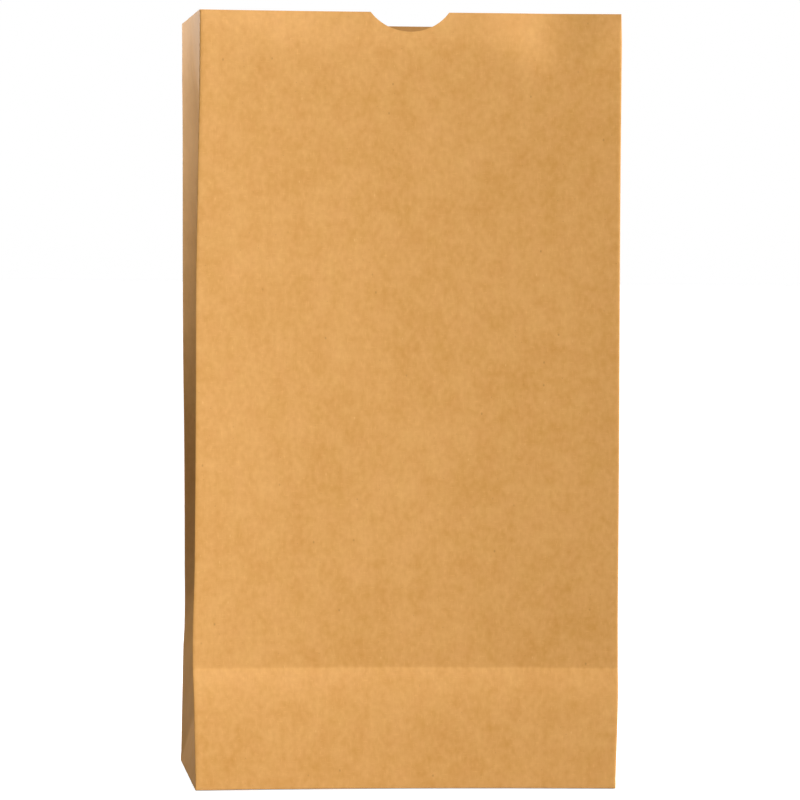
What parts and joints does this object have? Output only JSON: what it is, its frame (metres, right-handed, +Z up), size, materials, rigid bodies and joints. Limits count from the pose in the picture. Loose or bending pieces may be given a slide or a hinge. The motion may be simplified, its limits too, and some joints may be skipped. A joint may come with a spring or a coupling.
{
  "type": "paper lunch bag",
  "caption": "Plain brown kraft paper lunch bag standing open on its flat folded base, with creased side gussets and a thumb notch in the front of its mouth.",
  "frame": {"origin": "middle of the base, on the surface that the bag stands on", "axes": "+Z up towards the mouth, the front panel with the notch faces -Y, +X to the right as the front is looked at"},
  "size_m": [0.152, 0.0875, 0.281],
  "materials": {
    "kraft_paper": "uncoated natural kraft, matt, with a fine fibre mottle"
  },
  "bodies": {
    "root": {"paper_bag": "kraft_paper"}
  },
  "joints": []
}
